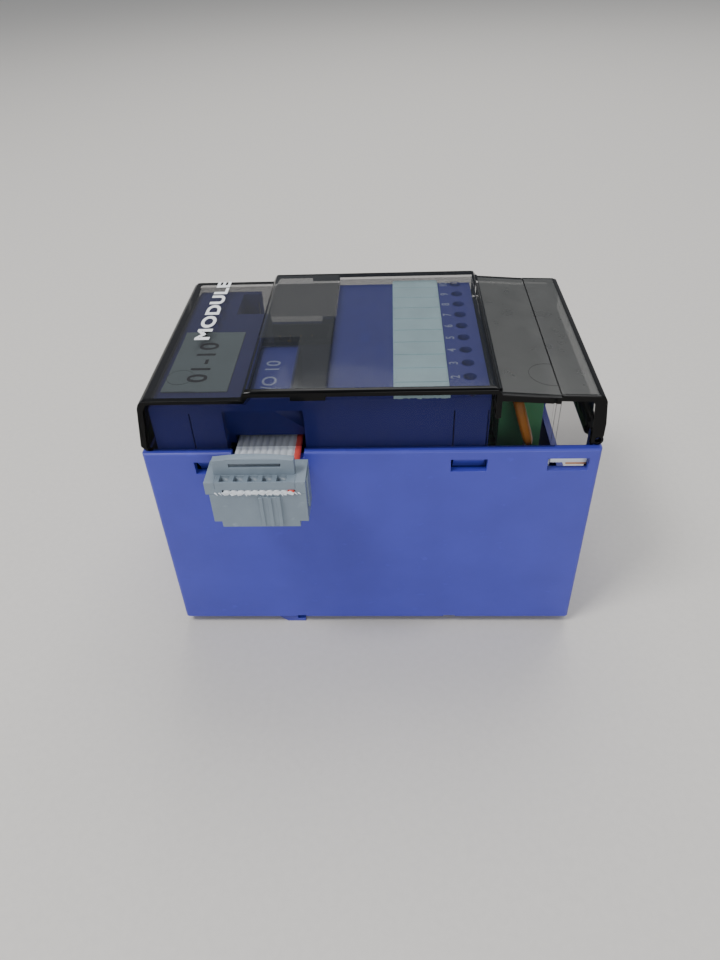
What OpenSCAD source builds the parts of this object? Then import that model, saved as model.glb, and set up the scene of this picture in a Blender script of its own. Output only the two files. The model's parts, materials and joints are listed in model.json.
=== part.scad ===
// PLC I/O module: an open-topped rail housing, an inner front panel with indicator windows,
// a hinged smoked hood, a row of rising-cage clamps and a bus plug on a short flat cable.
// X runs across the front, Y along the rail (away from the front), Z up. Units are mm.

/* [Housing] */
// width across the front
width = 86.5; // [80:0.5:95]
// depth along the rail
depth = 53; // [48:0.5:60]
// height of the blue wall above the rail seat
wall_h = 46.5; // [40:0.5:55]
// depth of the rail hooks under the seat
hook_h = 2; // [1.5:0.1:3]
// wall thickness of the housing
wall_t = 1.6; // [1.2:0.1:2.4]
// radius of the upright corners
corner_r = 0.8; // [0.4:0.1:2]
// bottom of the wire bay opening
bay_z = 26.5; // [20:0.5:34]
// half length of the wire bay opening
bay_half = 21.7; // [18:0.1:22]

/* [Snap slots] */
// bottom of the slots in the side walls
slot_z = 43.6; // [40:0.1:44]
// height of the slots
slot_h = 2.8; // [2:0.1:3.4]
// left edge of the left slot
slot_a = -33.5; // [-36:0.1:-30]
// left edge of the middle slot
slot_b = 15.4; // [12:0.1:17]
// length of the left and middle slots
slot_len = 6.8; // [5:0.1:8]
// left edge of the open right slot
slot_c = 33.5; // [32:0.1:36]
// length of the right slot
slot_c_len = 7.6; // [5:0.1:8]

/* [Front panel] */
// top of the left plateau
left_z = 57.9; // [56:0.1:58.2]
// top of the main plateau
main_z = 59.2; // [57:0.1:59.3]
// right face of the panel
panel_x1 = 22.3; // [20:0.1:22.4]
// pitch of the indicator windows
led_pitch = 5.08; // [5:0.01:5.1]
// diameter of an indicator window
led_bore = 2.4; // [2:0.1:3]
// position of the window row across the front
led_x = 18.95; // [17:0.05:19.2]

/* [Hood] */
// clearance between the hood and the wall top
hood_gap = 0.15; // [0.1:0.05:0.4]
// distance of the hood walls from the housing faces
hood_inset = 0.8; // [0.6:0.1:1.2]
// thickness of the hood
hood_t = 1.15; // [1:0.05:1.5]
// top of the raised middle
hood_z = 61.4; // [61:0.1:62]
// hinge axis across the front
axis_x = 42.3; // [42:0.1:42.5]
// hinge axis height
axis_z = 49.7; // [49.5:0.1:50]
// radius of the hinge pins
pin_r = 0.5; // [0.4:0.05:0.6]
// running clearance round the hinge pins
pin_gap = 0.05; // [0.03:0.01:0.08]

/* [Clamps] */
// number of clamps
poles = 8; // [2:1:8]
// pitch of the clamps
pole_pitch = 5.08; // [5:0.01:5.1]
// position of the clamp nearest the back
pole_y0 = 21.82; // [21:0.01:21.9]
// position of the clamp screws across the front
pole_x = 28.8; // [28:0.1:29.5]
// top of the clamp block
block_z = 57; // [54:0.1:57.2]

/* [Bus plug] */
// centre of the flat cable and the bus connectors across the front
bus_x = -19.45; // [-21:0.05:-18]
// conductors in the flat cable
wires = 10; // [6:2:14]
// pitch of the conductors
wire_pitch = 1.27; // [1.27:0.01:1.27]
// thickness of the flat cable
cable_t = 0.9; // [0.8:0.05:1]
// height of the cable in the plug
plug_z = 48.5; // [46:0.1:50]
// distance of the plug's centre line from the middle of the module
plug_y = -34.7; // [-38:0.1:-34]

/* [Hidden] */
$fn = 32;

hx = width / 2;
hy = depth / 2;
z0 = hook_h;
wall_z = hook_h + wall_h;
hood_y = hy - hood_inset;
hood_y_in = hood_y - hood_t;
panel_y = 24.3;
lower_z = 10;
pcb_t = 1.6;
upper_z = 40;
deck = upper_z + pcb_t;
boss_x = [-37.5, 17.5];
boss_y = 20.5;
cable_w = wires * wire_pitch;
cable_x = bus_x + 0.3;
arch_x = bus_x - 0.55;
// centre line of the flat cable, from its socket through the wall to the plug
cable_path = [[-12, 45.1], [-12, 46.3], [-12.4, 47.2], [-13.3, 47.8], [-14.8, 48.05], [-28.6, 48.05],
  [-30.2, 48.2], [-31.2, plug_z], [-38.3, plug_z]];

// rounded rectangle centred on the origin
module rrect(x, y, r) {
  square([x - 2 * r, y], center = true);
  square([x, y - 2 * r], center = true);
  for (i = [-1, 1], j = [-1, 1]) translate([i * (x / 2 - r), j * (y / 2 - r)]) circle(r);
}

// box from one corner to the other
module box(a, b) {
  translate(a) cube([b[0] - a[0], b[1] - a[1], b[2] - a[2]]);
}

// shape drawn in X and Z, running from y0 to y1
module along_y(y0, y1) {
  translate([0, y1, 0]) rotate([90, 0, 0]) linear_extrude(y1 - y0) children();
}

// shape drawn in Y and Z, running from x0 to x1
module along_x(x0, x1) {
  translate([x0, 0, 0]) rotate([90, 0, 90]) linear_extrude(x1 - x0) children();
}

// box with its bottom open
module cup(a, b, t, roof) {
  difference() {
    box(a, b);
    box([a[0] + t, a[1] + t, a[2] - 1], [b[0] - t, b[1] - t, b[2] - roof]);
  }
}

// ---- housing ----

module rail_hook(y0, y1) {
  along_y(y0, y1)
    polygon([[-22.35, z0 + 0.5], [-22.35, z0], [-19.9, 0], [-15.9, 0], [-15.9, 0.85],
      [-17.6, 0.85], [-17.6, z0 + 0.5]]);
}

module base() color([0.29, 0.32, 0.67]) {
  difference() {
    union() {
      difference() {
        translate([0, 0, z0]) linear_extrude(wall_h) rrect(width, depth, corner_r);
        box([-hx + wall_t, -hy + wall_t, z0 + 2], [hx - wall_t, hy - wall_t, wall_z + 1]);
        // top edge of the long walls
        for (s = [-1, 1]) translate([0, s * hy, wall_z]) rotate([45, 0, 0])
          cube([width + 2, 0.5, 0.5], center = true);
      }
      // roof of the latch channel
      box([16, -8.6, z0 + 1], [hx - 1, 8.6, z0 + 4.4]);
      for (x = boss_x, y = [-boss_y, boss_y])
        translate([x, y, z0 + 1]) cylinder(r = 2.4, h = lower_z - z0 - 1);
      for (s = [-1, 1]) {
        // hinge lugs
        along_y(s > 0 ? 21.9 : -23.7, s > 0 ? 23.7 : -21.9) {
          translate([axis_x, axis_z]) circle(0.95);
          translate([axis_x - 0.95, wall_z - 5]) square([1.9, axis_z - wall_z + 5]);
        }
      }
      rail_hook(-26.1, -18);
      rail_hook(18, 26.1);
      // feet that guide the latch
      for (s = [-1, 1]) box([23, s > 0 ? 5 : -9, 0], [41.5, s > 0 ? 9 : -5, z0 + 0.5]);
    }
    // snap slots, front and back
    for (s = [-1, 1]) {
      for (x = [slot_a, slot_b]) box([x, s * hy - 3, slot_z], [x + slot_len, s * hy + 3, slot_z + slot_h]);
      box([slot_c, s * hy - 3, slot_z], [slot_c + slot_c_len, s * hy + 3, slot_z + slot_h]);
    }
    // cable notch in the front wall
    box([-26, -hy - 1, 47.3], [-12.2, -hy + wall_t + 1, wall_z + 1]);
    // wire bay
    box([hx - 3, -bay_half, bay_z], [hx + 2, bay_half, wall_z + 6]);
    // latch channel
    box([17.5, -7, z0 - 0.6], [hx + 2, 7, z0 + 2.6]);
    // grooves beside the rail seat
    box([-17.6, -hy - 1, z0 - 0.05], [-15.5, hy + 1, z0 + 0.3]);
    box([15.5, -hy - 1, z0 - 0.05], [18, hy + 1, z0 + 0.3]);
    for (x = boss_x, y = [-boss_y, boss_y]) translate([x, y, z0 + 2.5]) cylinder(r = 0.9, h = 10);
    translate([axis_x, 0, axis_z]) rotate([90, 0, 0]) cylinder(r = pin_r, h = depth, center = true);
  }
  // stop post for the latch spring
  box([33, -1.3, z0 + 0.6], [34, 1.3, z0 + 3]);
}

module hinge_pin(s) color([0.75, 0.76, 0.78])
  translate([axis_x, s > 0 ? 19.6 : -23.7, axis_z]) rotate([-90, 0, 0]) cylinder(r = pin_r, h = 4.1);

// ---- inner front panel ----

module snap_arm(x, s) {
  // arm beside the wall, with a wedge that reaches into the slot
  box([x + 0.45, s > 0 ? panel_y - 1.2 : -panel_y, slot_z - 1], [x + slot_len - 0.5,
    s > 0 ? panel_y : -panel_y + 1.2, 49]);
  along_x(x + 0.45, x + slot_len - 0.5)
    polygon([[s * (panel_y - 0.3), slot_z + 0.3], [s * (panel_y + 0.2), slot_z + 0.3],
      [s * (panel_y + 1.5), slot_z + 2.1], [s * (panel_y + 1.5), slot_z + 2.4],
      [s * (panel_y - 0.3), slot_z + 2.4]]);
}

module upper_block() color([0.24, 0.27, 0.6]) {
  difference() {
    union() {
      cup([-40.6, -panel_y, 47], [-22.3, panel_y, left_z], 1.4, 1.5);
      cup([-22.31, -panel_y, 47], [-13.9, -5.2, main_z], 1.4, 1.5);
      cup([-7.5, -panel_y, 47], [panel_x1, panel_y, main_z], 1.4, 1.5);
      // floor of the well
      box([-22.31, -5.21, 48.5], [-7.49, panel_y, 50]);
      box([-13.91, -panel_y, 48.5], [-7.49, -5.2, 50]);
      box([-22.31, panel_y - 1.4, 47], [-7.49, panel_y, 51.2]);
      box([-13.91, -panel_y, 47], [-7.49, -panel_y + 1.4, main_z - 0.5]);
      // partition down to the board
      box([panel_x1 - 1.4, -panel_y, deck + 0.3], [panel_x1, panel_y, 50]);
      // walls round the cable outlet
      box([-28.4, -21, 47], [-10.6, -19.6, 57]);
      box([-28.4, -panel_y, 47], [-27, -19.6, 57]);
      // walls round the bus header
      box([-31.3, 11.2, 50], [-29.9, panel_y, 57]);
      box([-31.3, 11.2, 50], [-22.3, 12.6, 57]);
      for (x = [slot_a, slot_b], s = [-1, 1]) snap_arm(x, s);
    }
    // recess for the flat cable and its outlet
    box([-27, -panel_y - 1, 46], [-12, -21, 56.4]);
    box([-25.9, -22, 46], [-12.4, -19, 48.75]);
    box([-26, -19.7, 46], [-12.3, -9, 55.4]);
    // well for the bus header
    box([-29.9, 12.6, 46], [-9, panel_y - 1.4, 62]);
    box([-25.9, 20, 50], [-12.1, panel_y + 1, 62]);
    // indicator windows
    for (i = [0:9]) translate([led_x, (i - 4.5) * led_pitch, main_z - 3]) cylinder(r = led_bore / 2, h = 5);
    // relief inside the walls for the end lamps
    for (s = [-1, 1]) box([led_x - 1.6, s > 0 ? 22 : -24, 52], [led_x + 1.6, s > 0 ? 24 : -22, main_z - 1.5]);
    // slits that free the snap arms
    for (x = [slot_a + 0.3, slot_a + slot_len, slot_b + 0.4, slot_b + slot_len - 0.2], s = [-1, 1])
      box([x - 0.1, s > 0 ? 22.5 : -26, 46], [x + 0.1, s > 0 ? 26 : -22.5, 56]);
    // rounded front and back edges of the main plateau
    for (s = [-1, 1]) translate([7.4, s * panel_y, main_z]) rotate([45, 0, 0])
      cube([32, 0.7, 0.7], center = true);
    // corners under the slopes of the hood
    translate([-40.6, 0, left_z]) rotate([0, 45, 0]) cube([0.9, 60, 0.9], center = true);
    translate([-22.3, 0, main_z]) rotate([0, 45, 0]) cube([1.5, 60, 1.5], center = true);
  }
}

module label_strip() color([0.8, 0.86, 0.84]) box([4.7, -24.4, main_z], [14.9, 24.2, main_z + 0.6]);

module marker_label() color([0.6, 0.66, 0.66]) box([-39.1, -20, left_z], [-26.5, 3.5, left_z + 0.25]);

// ---- boards and what stands on them ----

module main_pcb() color([0.1, 0.35, 0.2]) difference() {
  box([-40.8, -24.2, lower_z], [33.5, 24.2, lower_z + pcb_t]);
  for (x = boss_x, y = [-boss_y, boss_y]) translate([x, y, lower_z - 1]) cylinder(r = 1.1, h = 4);
}

module io_pcb() color([0.12, 0.4, 0.24]) difference() {
  box([-40.8, -24.2, upper_z], [34, 24.2, deck]);
  for (x = boss_x, y = [-boss_y, boss_y]) translate([x, y, upper_z - 1]) cylinder(r = 1.1, h = 4);
  for (i = [0:poles - 1]) box([25.45, pole_y(i) - 0.7, upper_z - 1], [26.15, pole_y(i) + 0.7, deck + 1]);
  for (y = [-22.35, -18.35]) translate([30.35, y, upper_z - 1]) cylinder(r = 0.4, h = 4);
}

module hex_spacers() color([0.8, 0.68, 0.35]) for (x = boss_x, y = [-boss_y, boss_y]) translate([x, y, 0]) {
  difference() {
    translate([0, 0, lower_z + pcb_t]) cylinder(r = 2.5, h = upper_z - lower_z - pcb_t, $fn = 6);
    translate([0, 0, upper_z - 5]) cylinder(r = 0.9, h = 6);
  }
  translate([0, 0, z0 + 3]) cylinder(r = 0.85, h = lower_z + pcb_t - z0 - 2.5);
}

module board_screws() color([0.7, 0.71, 0.73]) for (x = boss_x, y = [-boss_y, boss_y]) translate([x, y, 0])
  difference() {
    union() {
      translate([0, 0, deck]) cylinder(r = 1.9, h = 1.3);
      translate([0, 0, upper_z - 4]) cylinder(r = 0.85, h = 6);
    }
    for (a = [0, 90]) translate([0, 0, deck + 1]) rotate([0, 0, a]) cube([2.2, 0.5, 0.8], center = true);
  }

module board_link() color([0.12, 0.12, 0.13]) {
  // stacking connector between the two boards
  box([-2.6, -19, lower_z + pcb_t], [2.4, 6.4, lower_z + pcb_t + 8.5]);
  box([-1.6, -18, lower_z + pcb_t + 8], [1.4, 5.4, upper_z]);
}

module power_coil() color([0.2, 0.2, 0.22]) {
  box([-34, -9, lower_z + pcb_t], [-21, 4, lower_z + pcb_t + 2]);
  translate([-27.5, -2.5, lower_z + pcb_t + 1.5]) cylinder(r = 5.8, h = 8);
}

module electrolytic_caps() color([0.14, 0.15, 0.2]) for (y = [12, -17]) difference() {
  translate([10, y, lower_z + pcb_t]) cylinder(r = 4.2, h = 13);
  translate([10, y, lower_z + pcb_t + 12.7]) cube([6, 0.4, 1], center = true);
}

module regulator() color([0.13, 0.13, 0.14]) {
  box([-16, 12, lower_z + pcb_t], [-6, 21, lower_z + pcb_t + 4.4]);
  box([-16, 12, lower_z + pcb_t + 4], [-6, 15, lower_z + pcb_t + 12]);
}

module optocouplers() color([0.9, 0.9, 0.88]) for (i = [0:7])
  box([-1.5, -20 + 5.3 * i, deck], [5, -15.4 + 5.3 * i, deck + 3.4]);

module bus_controller() color([0.13, 0.13, 0.14]) difference() {
  box([-37, -8, deck], [-27, 2, deck + 1.4]);
  translate([-36, 1, deck + 1.2]) cylinder(r = 0.4, h = 1);
}

module film_capacitor() color([0.62, 0.38, 0.1]) {
  translate([28.85, -20.35, 52]) rotate([0, 90 - 17.2, 0]) rotate([0, 0, 90])
    linear_extrude(2, center = true) rrect(7.6, 11.8, 2.4);
  for (y = [-22.35, -18.35]) translate([30.35, y, upper_z - 0.8]) cylinder(r = 0.3, h = 8.5);
}

module led_pcb() color([0.12, 0.38, 0.22]) {
  box([9.5, -22.6, 53.6], [20.6, 22.6, 54.8]);
  box([led_x - 1.3, -23.8, 53.6], [led_x + 1.3, 23.8, 54.8]);
}

module leds() color([0.45, 0.16, 0.12]) for (i = [0:9]) translate([led_x, (i - 4.5) * led_pitch, 54.8]) {
  cylinder(r = 0.85, h = 1.7);
  translate([0, 0, 1.7]) sphere(r = 0.85);
}

module led_header() color([0.12, 0.12, 0.13]) box([10.4, -15, deck], [13, 15, 53.6]);

module earth_strip() color([0.85, 0.86, 0.85]) {
  box([32.6, -24, deck], [34.4, -23.6, 46.4]);
  box([32.6, -24.7, 46.05], [41.2, -23.6, 46.4]);
  box([34.3, -24.7, 44.2], [41.2, -24.35, 46.4]);
}

module earth_contact() color([0.85, 0.6, 0.45]) box([37.4, -24.35, 43.45], [41.2, -24.05, 45.2]);

// ---- bus header and flat cable ----

module bus_header() color([0.13, 0.13, 0.14]) difference() {
  box([bus_x - 10.2, 13.1, deck], [bus_x + 10.2, 21.9, deck + 9]);
  box([bus_x - 9, 14, deck + 2], [bus_x + 9, 21, deck + 10]);
  // keyway on the side the plug's key faces
  box([bus_x - 0.2, 12, deck + 3], [bus_x + 4.4, 14.5, deck + 10]);
  for (i = [-2:2], s = [-1, 1]) translate([bus_x + 2.54 * i, 17.5 + 1.27 * s, deck - 1])
    translate([-0.34, -0.34, 0]) cube([0.68, 0.68, 5]);
}

module bus_pins() color([0.86, 0.73, 0.36]) for (i = [-2:2], s = [-1, 1])
  translate([bus_x + 2.54 * i - 0.32, 17.5 + 1.27 * s - 0.32, deck]) cube([0.64, 0.64, 7.6]);

module ribbon_socket() color([0.14, 0.14, 0.15]) difference() {
  box([cable_x - 8.4, -14.6, deck], [cable_x + 8.4, -9.4, deck + 4.4]);
  box([cable_x - cable_w / 2 - 0.1, -12 - cable_t / 2 - 0.05, deck + 3.4],
    [cable_x + cable_w / 2 + 0.1, -12 + cable_t / 2 + 0.05, deck + 5]);
}

// unit normal of the cable path at point i
function step(i) = cable_path[min(i + 1, len(cable_path) - 1)] - cable_path[max(i - 1, 0)];
function side(i) = [-step(i)[1], step(i)[0]] / norm(step(i));

module ribbon() color([0.82, 0.84, 0.86])
  along_x(cable_x - cable_w / 2, cable_x + cable_w / 2)
    polygon(concat([for (i = [0:len(cable_path) - 1]) cable_path[i] + side(i) * cable_t / 2],
      [for (i = [len(cable_path) - 1:-1:0]) cable_path[i] - side(i) * cable_t / 2]));

// ---- plug ----

module plug_socket() color([0.6, 0.63, 0.65]) difference() {
  union() {
    box([bus_x - 8.65, plug_y - 3.3, 41.6], [bus_x + 8.65, plug_y + 3.3, plug_z - 0.5]);
    box([bus_x - 7.25, plug_y - 3.3, 40.3], [bus_x + 7.05, plug_y + 3.3, 42]);
    // polarising key with three ridges
    box([bus_x + 0.15, plug_y - 3.6, 40.9], [bus_x + 4.05, plug_y - 3, plug_z - 0.9]);
    for (i = [0:2]) box([bus_x + 0.15 + 1.6 * i, plug_y - 3.9, 40.9],
      [bus_x + 0.85 + 1.6 * i, plug_y - 3, plug_z - 0.9]);
  }
  for (i = [-2:2], s = [-1, 1]) translate([bus_x + 2.54 * i - 0.5, plug_y + 1.27 * s - 0.5, 40])
    cube([1, 1, 7.2]);
  // seats for the cover's arms
  for (s = [-1, 1]) box([s > 0 ? bus_x + 8.05 : bus_x - 9, plug_y - 1.6, 43.4],
    [s > 0 ? bus_x + 9 : bus_x - 8.05, plug_y + 1.6, plug_z]);
}

module plug_cover() color([0.62, 0.65, 0.67]) {
  difference() {
    union() {
      box([bus_x - 9.25, plug_y - 3.3, plug_z + 0.5], [bus_x + 8.65, plug_y + 3.3, 50.7]);
      for (s = [-1, 1])
        box([s > 0 ? cable_x + cable_w / 2 + 0.15 : bus_x - 9.25, plug_y - 3.3, plug_z - 0.45],
          [s > 0 ? bus_x + 8.65 : cable_x - cable_w / 2 - 0.15, plug_y + 3.3, plug_z + 0.6]);
      for (s = [-1, 1]) box([s > 0 ? bus_x + 8.1 : bus_x - 8.9, plug_y - 1.5, 43.6],
        [s > 0 ? bus_x + 8.9 : bus_x - 8.1, plug_y + 1.5, 50.2]);
    }
    // row of pockets along both long edges
    for (i = [-2:2], s = [-1, 1]) box([bus_x + 2.54 * i - 1.5, plug_y + s * 2.1 - 0.85, 49.7],
      [bus_x + 2.54 * i + 0.2, plug_y + s * 2.1 + 0.85, 51]);
    // lines where the ends meet the middle
    for (x = [bus_x - 7.4, bus_x + 6.85]) {
      box([x - 0.08, plug_y - 4, plug_z + 0.7], [x + 0.08, plug_y - 3.2, 51]);
      box([x - 0.08, plug_y - 4, 50.6], [x + 0.08, plug_y - 1.1, 51]);
    }
  }
}

module strain_relief() color([0.6, 0.63, 0.66]) difference() {
  along_y(plug_y - 1.1, plug_y + 0.4) {
    difference() {
      translate([arch_x - 7.25, 50.7]) square([14.5, 3.1]);
      translate([arch_x - 4.35, 52.3]) square([9.2, 0.8]);
    }
    // slightly crowned top
    intersection() {
      translate([arch_x, 53.8 - 45]) circle(r = 45.5, $fn = 128);
      translate([arch_x - 7.25, 53.2]) square([14.5, 1.2]);
    }
  }
  // bevel along the front of the crown
  translate([arch_x, plug_y - 1.1, 54.4]) rotate([45, 0, 0]) cube([20, 0.6, 0.6], center = true);
}

module plug_contacts() color([0.85, 0.72, 0.35]) for (i = [-2:2], s = [-1, 1])
  translate([bus_x + 2.54 * i - 0.35, plug_y + 1.27 * s - 0.4, 40.9]) difference() {
    cube([0.7, 0.8, 6.2]);
    translate([-1, 0.25, -1]) cube([3, 0.3, 5]);
  }

// ---- hood ----

module hood_outline() polygon([[-42.4, wall_z + hood_gap], [-43.25, 49.7], [-42.15, 58.1], [-41.75, 59.1],
  [-40.9, 59.65], [-40.2, 59.7], [-23, 59.7], [-22.4, 60.9], [-22, 61.3], [-21.5, hood_z],
  [22.7, hood_z], [23.2, 61.25], [23.4, 60.9], [24.03, 60.07], [34.4, 59.25], [34.6, 59.46],
  [41.5, 59.2], [42.3, 58.9], [42.7, 58.1], [43.25, 53.4], [43.25, 50.5], [43.03, 50.31],
  [axis_x, axis_z], [axis_x - 0.8, wall_z + hood_gap]]);

module hood_hollow() polygon([[-41.9, 48], [-42.1, 49.7], [-41.1, 57.6], [-40.4, 58.8], [-39.9, 59],
  [-22.4, 59], [-21.4, 60.25], [22.98, 60.25], [24.03, 58.77], [34.4, 58.01], [34.6, 58.35],
  [40.1, 58.15], [40.5, 57.6], [41, 51.2], [41, 48]]);

module hood() color([0.12, 0.11, 0.13, 0.55]) difference() {
  union() {
    difference() {
      along_y(-hood_y, hood_y) {
        hood_outline();
        translate([axis_x, axis_z]) circle(1.05);
      }
      along_y(-hood_y_in, hood_y_in) hood_hollow();
    }
    // knuckle between the lugs
    along_y(-21.55, 21.55) {
      translate([axis_x - 0.45, axis_z]) circle(1.4);
      translate([40.8, axis_z]) square([2.4, 2.4]);
    }
    // partition rib with a rounded end
    along_y(-hood_y_in - 0.1, hood_y_in + 0.1) {
      translate([22.98, 55.75]) square([1.05, 5]);
      translate([23.505, 55.75]) circle(0.525);
    }
    // thicker zone beside the clear window
    box([-22, -5.2, 59.45], [-7.5, hood_y_in + 0.1, 60.5]);
    box([-13.85, -hood_y_in - 0.1, 59.45], [-7.5, -5.1, 60.5]);
  }
  // end part set in at both sides
  for (s = [-1, 1])
    box([34.5, s > 0 ? hood_y - 0.4 : -hood_y - 1, 40], [50, s > 0 ? hood_y + 1 : -hood_y + 0.4, 70]);
  // room round the lugs
  for (s = [-1, 1]) box([40.2, s > 0 ? 21.55 : -24.05, 48], [45, s > 0 ? 24.05 : -21.55, 51.2]);
  // cable notches, front and back
  box([-25.9, -30, 48], [-12.1, -20, 49.4]);
  box([-25.9, 20, 48], [-12.1, 30, 51.2]);
  // upright grooves beside the end part
  for (s = [-1, 1])
    box([33.2, s > 0 ? hood_y - 0.2 : -hood_y - 1, 50], [33.6, s > 0 ? hood_y + 1 : -hood_y + 0.2, 59]);
  // long edges of the raised middle
  for (s = [-1, 1])
    translate([0.6, s * hood_y, hood_z]) rotate([45, 0, 0]) cube([46, 0.5, 0.5], center = true);
  translate([axis_x, 0, axis_z]) rotate([90, 0, 0]) cylinder(r = pin_r + pin_gap, h = 60, center = true);
}

// ---- rail latch ----

module din_latch() color([0.16, 0.17, 0.2]) difference() {
  union() {
    box([17.8, -4.7, z0 + 0.25], [21, 4.7, z0 + 2.35]);
    box([21, -6.7, z0 + 0.25], [43, 6.7, z0 + 2.35]);
    along_y(-4.7, 4.7)
      polygon([[17.8, z0 + 0.5], [17.8, 0.85], [16, 0.85], [16, 0], [19.6, 0], [21.4, z0 + 0.5]]);
    box([37, -4.5, 0.6], [43, 4.5, z0 + 0.5]);
  }
  box([25.8, -1.6, 0], [34.3, 1.6, 6]);
  // slot for a screwdriver blade
  box([39.4, -2.2, -1], [40.8, 2.2, 6]);
}

module latch_spring() color([0.78, 0.79, 0.8]) for (i = [0:9])
  translate([26.1 + 0.72 * i, 0, z0 + 1.3]) rotate([0, 90, 0])
    rotate_extrude() translate([0.78, 0]) circle(r = 0.2);

// ---- clamps ----

function pole_y(i) = pole_y0 - pole_pitch * i;

module terminal_block() color([0.16, 0.46, 0.28]) difference() {
  box([25.3, pole_y(poles - 1) - 2.54, deck], [33.7, pole_y0 + 2.54, block_z]);
  for (i = [0:poles - 1]) translate([0, pole_y(i), 0]) {
    // chute for the cage
    box([26.3, -2.05, 42.6], [31.4, 2.05, 52.9]);
    // clearance for the screw and its head
    translate([pole_x, 0, 50]) cylinder(r = 1.4, h = 8);
    translate([pole_x, 0, 53.7]) cylinder(r = 2.1, h = 8);
    // wire entry
    box([31, -1.7, 43.9], [35, 1.7, 47.2]);
    // slot for the bar's leg
    box([25, -0.75, deck - 1], [26.2, 0.75, 48.15]);
    box([25, -1.45, 47.25], [26.4, 1.45, 48.15]);
    box([31.3, -1.45, 47.2], [32.4, 1.45, 48.15]);
  }
  // chamfer above the wire entries
  translate([33.7, 4, block_z]) rotate([0, 45, 0]) cube([2.4, 60, 2.4], center = true);
}

module terminal_bars() color([0.8, 0.68, 0.4]) for (i = [0:poles - 1]) translate([0, pole_y(i), 0]) {
  box([25.5, -1.4, 47.3], [32.2, 1.4, 48.1]);
  box([25.5, -0.65, upper_z - 1.2], [26.1, 0.65, 47.5]);
}

module screw(i) color([0.74, 0.75, 0.77]) translate([pole_x, pole_y(i), 0]) difference() {
  union() {
    translate([0, 0, 53.75]) cylinder(r = 1.9, h = 1.6);
    translate([0, 0, 48.3]) cylinder(r = 1.2, h = 5.6);
  }
  translate([0, 0, 55.2]) cube([5, 0.6, 1.6], center = true);
}

module cage(i) color([0.7, 0.72, 0.75]) translate([pole_x, pole_y(i), 0]) difference() {
  box([-2.3, -1.9, 42.9], [2.3, 1.9, 49.9]);
  box([-3, -1.5, 44.1], [3, 1.5, 48.5]);
  translate([0, 0, 45]) cylinder(r = 1.25, h = 6);
}

base();
upper_block();
main_pcb();
io_pcb();
hex_spacers();
board_screws();
board_link();
led_pcb();
leds();
led_header();
label_strip();
marker_label();
bus_header();
bus_pins();
ribbon_socket();
ribbon();
terminal_block();
terminal_bars();
film_capacitor();
optocouplers();
bus_controller();
power_coil();
electrolytic_caps();
regulator();
earth_strip();
earth_contact();
hinge_pin(-1);  // hinge_pin_front
hinge_pin(1);  // hinge_pin_back
hood();
din_latch();
latch_spring();
plug_socket();
plug_cover();
strain_relief();
plug_contacts();
screw(0);  // screw_1
screw(1);  // screw_2
screw(2);  // screw_3
screw(3);  // screw_4
screw(4);  // screw_5
screw(5);  // screw_6
screw(6);  // screw_7
screw(7);  // screw_8
cage(0);  // cage_1
cage(1);  // cage_2
cage(2);  // cage_3
cage(3);  // cage_4
cage(4);  // cage_5
cage(5);  // cage_6
cage(6);  // cage_7
cage(7);  // cage_8
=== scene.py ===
"""Looks of the PLC module: the CAD pieces with softened edges, finer small parts and the studio.

Lengths are in millimetres and go through mm() on their way into Blender, which works in metres.
X runs across the front, Y along the rail away from the front, and Z up.
"""
import json
import math
import random

import bmesh
import bpy
from mathutils import Euler, Matrix, Vector, noise


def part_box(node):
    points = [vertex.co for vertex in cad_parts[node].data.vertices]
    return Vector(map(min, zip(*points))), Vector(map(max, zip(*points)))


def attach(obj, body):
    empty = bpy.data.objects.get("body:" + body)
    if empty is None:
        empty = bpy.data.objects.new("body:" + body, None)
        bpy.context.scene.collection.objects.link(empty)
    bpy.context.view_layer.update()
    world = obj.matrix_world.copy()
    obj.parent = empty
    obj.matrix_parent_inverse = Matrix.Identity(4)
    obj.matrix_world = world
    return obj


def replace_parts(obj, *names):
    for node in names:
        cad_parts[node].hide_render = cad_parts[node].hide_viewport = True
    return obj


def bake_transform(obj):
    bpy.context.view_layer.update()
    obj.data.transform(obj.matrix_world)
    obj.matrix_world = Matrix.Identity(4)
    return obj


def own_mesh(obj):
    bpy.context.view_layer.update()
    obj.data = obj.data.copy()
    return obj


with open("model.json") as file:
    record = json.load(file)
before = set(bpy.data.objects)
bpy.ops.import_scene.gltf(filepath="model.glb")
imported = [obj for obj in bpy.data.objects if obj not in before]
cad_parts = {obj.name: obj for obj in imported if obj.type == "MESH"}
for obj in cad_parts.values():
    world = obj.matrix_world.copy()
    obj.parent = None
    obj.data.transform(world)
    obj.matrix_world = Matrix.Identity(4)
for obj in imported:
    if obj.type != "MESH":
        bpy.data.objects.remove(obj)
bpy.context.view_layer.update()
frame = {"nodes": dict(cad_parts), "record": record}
MM = 0.001


def mm(*lengths):
    """Lengths in metres, from lengths in millimetres."""
    return Vector(length * MM for length in lengths)


def low_high(node):
    """Lowest and highest corner of a CAD node, in millimetres."""
    low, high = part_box(node)
    return low / MM, high / MM


# ---- materials ----

def colour(red, green, blue):
    """A linear colour from sRGB values of 0 to 255."""
    def one(value):
        value /= 255
        return value / 12.92 if value <= 0.04045 else ((value + 0.055) / 1.055) ** 2.4
    return (one(red), one(green), one(blue), 1.0)


def add(tree, kind, inputs=None, **settings):
    """A shader node with its settings and inputs, where an input is a value or another node's output."""
    made = tree.nodes.new(kind)
    for name, value in settings.items():
        setattr(made, name, value)
    for name, value in (inputs or {}).items():
        if isinstance(value, bpy.types.NodeSocket):
            tree.links.new(value, made.inputs[name])
        else:
            made.inputs[name].default_value = value
    return made


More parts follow.
